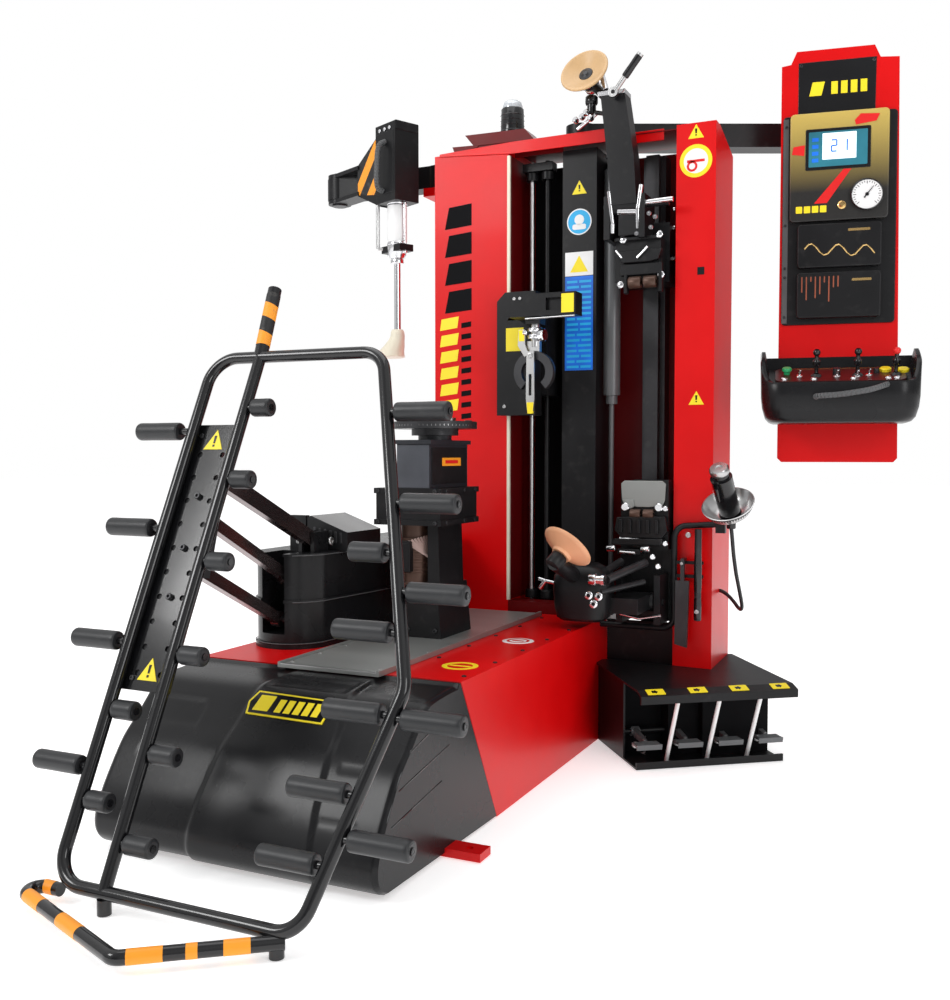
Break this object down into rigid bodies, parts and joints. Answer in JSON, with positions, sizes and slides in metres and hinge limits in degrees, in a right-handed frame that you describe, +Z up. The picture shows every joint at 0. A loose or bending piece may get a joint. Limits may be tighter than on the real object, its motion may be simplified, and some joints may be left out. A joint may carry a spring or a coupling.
{
  "type": "tyre changer",
  "caption": "Column-type tyre changer with sliding powered wheel table, tool carriage, two bead discs, press arm, roller wheel lift, foot pedals and swinging control console",
  "frame": {"origin": "on the floor, at the centre of the rectangle of the four floor anchor holes", "axes": "+X is the operator's right, +Y runs from the wheel lift back to the column, +Z is up"},
  "size_m": [2.1388, 2.5246, 2.2735],
  "materials": {
    "base_frame": "satin",
    "front_cover": "satin",
    "left_post": "satin",
    "right_post": "satin",
    "column_back": "satin",
    "mast_strip": "satin",
    "guide_rods": "polished",
    "disc_rail": "satin",
    "lift_cylinder": "satin",
    "beacon_bracket": "satin",
    "beacon": "gloss",
    "lift_casing": "satin",
    "lift_motor": "satin",
    "pedal_base": "satin",
    "pedal_cover": "satin",
    "side_rack": "satin",
    "hand_tools": "satin",
    "air_gun": "gloss",
    "air_hose": "matt",
    "slide_cylinder": "satin",
    "slide_plate": "brushed",
    "tower": "satin",
    "gearbox": "satin",
    "drive_motor": "satin",
    "turntable": "satin",
    "clamp_spindle": "brushed",
    "lift_arm_upper": "satin",
    "lift_arm_middle": "satin",
    "lift_arm_lower": "satin",
    "lift_bracket": "satin",
    "lift_frame": "satin",
    "lift_plate": "satin",
    "floor_loop": "satin",
    "rollers": "matt",
    "tool_carriage": "satin",
    "tool_arm": "satin",
    "mount_hook": "brushed",
    "tool_lever": "brushed",
    "upper_carriage": "satin",
    "upper_arm": "satin",
    "upper_disc": "satin",
    "release_lever": "brushed",
    "lower_carriage": "satin",
    "lower_arm": "satin",
    "lower_disc": "satin",
    "pedal_1": "satin",
    "pedal_2": "satin",
    "pedal_3": "satin",
    "pedal_4": "satin",
    "console_arm": "satin",
    "console_panel": "satin",
    "control_tray": "satin",
    "joystick_left": "gloss",
    "joystick_middle": "gloss",
    "joystick_right": "gloss",
    "helper_arm": "satin",
    "helper_link": "satin",
    "press_cylinder": "satin",
    "press_rod": "polished",
    "press_cone": "satin"
  },
  "bodies": {
    "machine": {"base_frame": "base_frame", "front_cover": "front_cover", "left_post": "left_post", "right_post": "right_post", "column_back": "column_back", "mast_strip": "mast_strip", "guide_rods": "guide_rods", "disc_rail": "disc_rail", "lift_cylinder": "lift_cylinder", "beacon_bracket": "beacon_bracket", "beacon": "beacon", "lift_casing": "lift_casing", "lift_motor": "lift_motor", "pedal_base": "pedal_base", "pedal_cover": "pedal_cover", "side_rack": "side_rack", "hand_tools": "hand_tools", "air_gun": "air_gun", "air_hose": "air_hose", "slide_cylinder": "slide_cylinder"},
    "table_slide": {"slide_plate": "slide_plate", "tower": "tower", "gearbox": "gearbox", "drive_motor": "drive_motor"},
    "table": {"turntable": "turntable", "clamp_spindle": "clamp_spindle"},
    "arm_upper": {"lift_arm_upper": "lift_arm_upper"},
    "arm_middle": {"lift_arm_middle": "lift_arm_middle"},
    "arm_lower": {"lift_arm_lower": "lift_arm_lower"},
    "lift_coupler": {"lift_bracket": "lift_bracket"},
    "lift": {"lift_frame": "lift_frame", "lift_plate": "lift_plate", "floor_loop": "floor_loop", "rollers": "rollers"},
    "tool_slide": {"tool_carriage": "tool_carriage", "tool_arm": "tool_arm"},
    "hook": {"mount_hook": "mount_hook"},
    "lever": {"tool_lever": "tool_lever"},
    "upper_slide": {"upper_carriage": "upper_carriage"},
    "upper_beam": {"upper_arm": "upper_arm"},
    "upper_wheel": {"upper_disc": "upper_disc"},
    "release": {"release_lever": "release_lever"},
    "lower_slide": {"lower_carriage": "lower_carriage"},
    "lower_beam": {"lower_arm": "lower_arm"},
    "lower_wheel": {"lower_disc": "lower_disc"},
    "console_swing_arm": {"console_arm": "console_arm"},
    "console": {"console_panel": "console_panel", "control_tray": "control_tray"},
    "press_link_1": {"helper_arm": "helper_arm"},
    "press_link_2": {"helper_link": "helper_link", "press_cylinder": "press_cylinder"},
    "press_stem": {"press_rod": "press_rod"},
    "press_foot": {"press_cone": "press_cone"},
    "pedal_lever_1": {"pedal_1": "pedal_1"},
    "pedal_lever_2": {"pedal_2": "pedal_2"},
    "pedal_lever_3": {"pedal_3": "pedal_3"},
    "pedal_lever_4": {"pedal_4": "pedal_4"},
    "stick_left": {"joystick_left": "joystick_left"},
    "stick_middle": {"joystick_middle": "joystick_middle"},
    "stick_right": {"joystick_right": "joystick_right"}
  },
  "joints": [
    {"name": "table_travel", "type": "slide", "parent": "machine", "child": "table_slide", "axis": [0, -1, 0], "range_m": [0, 0.3]},
    {"name": "table_spin", "type": "hinge", "parent": "table_slide", "child": "table", "pos_m": [0.046, -0.16, 1], "axis": [0, 0, 1], "continuous": true},
    {"name": "lift_swing", "type": "hinge", "parent": "machine", "child": "arm_upper", "pos_m": [-0.22, -0.42, 0.7], "axis": [1, 0, 0], "range_deg": [-48, 0]},
    {"name": "lift_middle_swing", "type": "hinge", "parent": "machine", "child": "arm_middle", "pos_m": [-0.285, -0.459, 0.596], "axis": [1, 0, 0], "range_deg": [-48, 0]},
    {"name": "lift_lower_swing", "type": "hinge", "parent": "machine", "child": "arm_lower", "pos_m": [-0.285, -0.498, 0.478], "axis": [1, 0, 0], "range_deg": [-48, 0]},
    {"name": "coupler_turn", "type": "hinge", "parent": "arm_upper", "child": "lift_coupler", "pos_m": [-0.17, -0.915, 0.9], "axis": [1, 0, 0], "range_deg": [0, 48.5]},
    {"name": "lift_tilt", "type": "hinge", "parent": "lift_coupler", "child": "lift", "pos_m": [-0.17, -0.915, 0.9], "axis": [1, 0, 0], "range_deg": [-66, 0]},
    {"name": "tool_lift", "type": "slide", "parent": "machine", "child": "tool_slide", "axis": [0, 0, 1], "range_m": [-0.3, 0.35]},
    {"name": "hook_swivel", "type": "hinge", "parent": "tool_slide", "child": "hook", "pos_m": [0.2, 0.262, 1.38], "axis": [0, 0, 1], "range_deg": [0, 90]},
    {"name": "lever_swing", "type": "hinge", "parent": "hook", "child": "lever", "pos_m": [0.192, 0.24, 1.27], "axis": [0, 1, 0], "range_deg": [-15, 15]},
    {"name": "upper_lift", "type": "slide", "parent": "machine", "child": "upper_slide", "axis": [0, 0, 1], "range_m": [-0.35, 0.1]},
    {"name": "upper_fold", "type": "hinge", "parent": "upper_slide", "child": "upper_beam", "pos_m": [0.48, 0.35, 1.748], "axis": [1, 0, 0], "range_deg": [0, 90]},
    {"name": "upper_disc_spin", "type": "hinge", "parent": "upper_beam", "child": "upper_wheel", "pos_m": [0.337, 0.36, 2.19], "axis": [-0.0799, -0.8994, 0.4297], "continuous": true},
    {"name": "release_swing", "type": "hinge", "parent": "upper_beam", "child": "release", "pos_m": [0.452, 0.293, 2.096], "axis": [0, 1, 0], "range_deg": [-20, 20]},
    {"name": "lower_lift", "type": "slide", "parent": "machine", "child": "lower_slide", "axis": [0, 0, 1], "range_m": [0, 0.25]},
    {"name": "lower_fold", "type": "hinge", "parent": "lower_slide", "child": "lower_beam", "pos_m": [0.53, 0.35, 0.47], "axis": [1, 0, 0], "range_deg": [-20, 0]},
    {"name": "lower_disc_spin", "type": "hinge", "parent": "lower_beam", "child": "lower_wheel", "pos_m": [0.4, 0, 0.66], "axis": [0.3791, 0.6185, 0.6883], "continuous": true},
    {"name": "pedal_press_1", "type": "hinge", "parent": "machine", "child": "pedal_lever_1", "pos_m": [0.55917, 0.20876, 0.08], "axis": [0.7986, 0.6018, 0], "range_deg": [0, 12], "stiffness_Nm_per_rad": 12, "springref_deg": -9.74},
    {"name": "pedal_press_2", "type": "hinge", "parent": "machine", "child": "pedal_lever_2", "pos_m": [0.66539, 0.28881, 0.08], "axis": [0.7986, 0.6018, 0], "range_deg": [0, 12], "stiffness_Nm_per_rad": 12, "springref_deg": -9.74},
    {"name": "pedal_press_3", "type": "hinge", "parent": "machine", "child": "pedal_lever_3", "pos_m": [0.77161, 0.36885, 0.08], "axis": [0.7986, 0.6018, 0], "range_deg": [0, 12], "stiffness_Nm_per_rad": 12, "springref_deg": -9.74},
    {"name": "pedal_press_4", "type": "hinge", "parent": "machine", "child": "pedal_lever_4", "pos_m": [0.87783, 0.44889, 0.08], "axis": [0.7986, 0.6018, 0], "range_deg": [0, 12], "stiffness_Nm_per_rad": 12, "springref_deg": -9.74},
    {"name": "console_swing", "type": "hinge", "parent": "machine", "child": "console_swing_arm", "pos_m": [0.25, 0.56, 2.046], "axis": [0, 0, 1], "range_deg": [-25, 30]},
    {"name": "console_turn", "type": "hinge", "parent": "console_swing_arm", "child": "console", "pos_m": [1.02036, 0.91923, 2.05], "axis": [0, 0, 1], "range_deg": [-15, 30]},
    {"name": "stick_tilt_left", "type": "hinge", "parent": "console", "child": "stick_left", "pos_m": [1.04818, 0.55751, 1.20173], "axis": [0.9869, 0.1616, 0], "range_deg": [-12, 12], "stiffness_Nm_per_rad": 1},
    {"name": "stick_tilt_middle", "type": "hinge", "parent": "console", "child": "stick_middle", "pos_m": [1.17055, 0.57754, 1.20173], "axis": [0.9869, 0.1616, 0], "range_deg": [-12, 12], "stiffness_Nm_per_rad": 1},
    {"name": "stick_tilt_right", "type": "hinge", "parent": "console", "child": "stick_right", "pos_m": [1.28306, 0.59597, 1.20173], "axis": [0.9869, 0.1616, 0], "range_deg": [-12, 12], "stiffness_Nm_per_rad": 1},
    {"name": "press_swing", "type": "hinge", "parent": "machine", "child": "press_link_1", "pos_m": [-0.3, 0.56, 1.967], "axis": [0, 0, 1], "range_deg": [0, 18]},
    {"name": "press_elbow", "type": "hinge", "parent": "press_link_1", "child": "press_link_2", "pos_m": [-0.736, 0.56, 1.967], "axis": [0, 0, 1], "range_deg": [-135, 0]},
    {"name": "press_travel", "type": "slide", "parent": "press_link_2", "child": "press_stem", "axis": [0, 0, -1], "range_m": [0, 0.2]},
    {"name": "press_foot_spin", "type": "hinge", "parent": "press_stem", "child": "press_foot", "pos_m": [-0.393, 0.4, 1.385], "axis": [0, 0, 1], "continuous": true}
  ],
  "couplings": [
    {"joint": "lift_middle_swing", "follows": "lift_swing", "ratio": 1},
    {"joint": "lift_lower_swing", "follows": "lift_swing", "ratio": 1},
    {"joint": "coupler_turn", "follows": "lift_swing", "ratio": -1},
    {"joint": "lift_tilt", "follows": "lift_swing", "ratio": 1.3625}
  ]
}
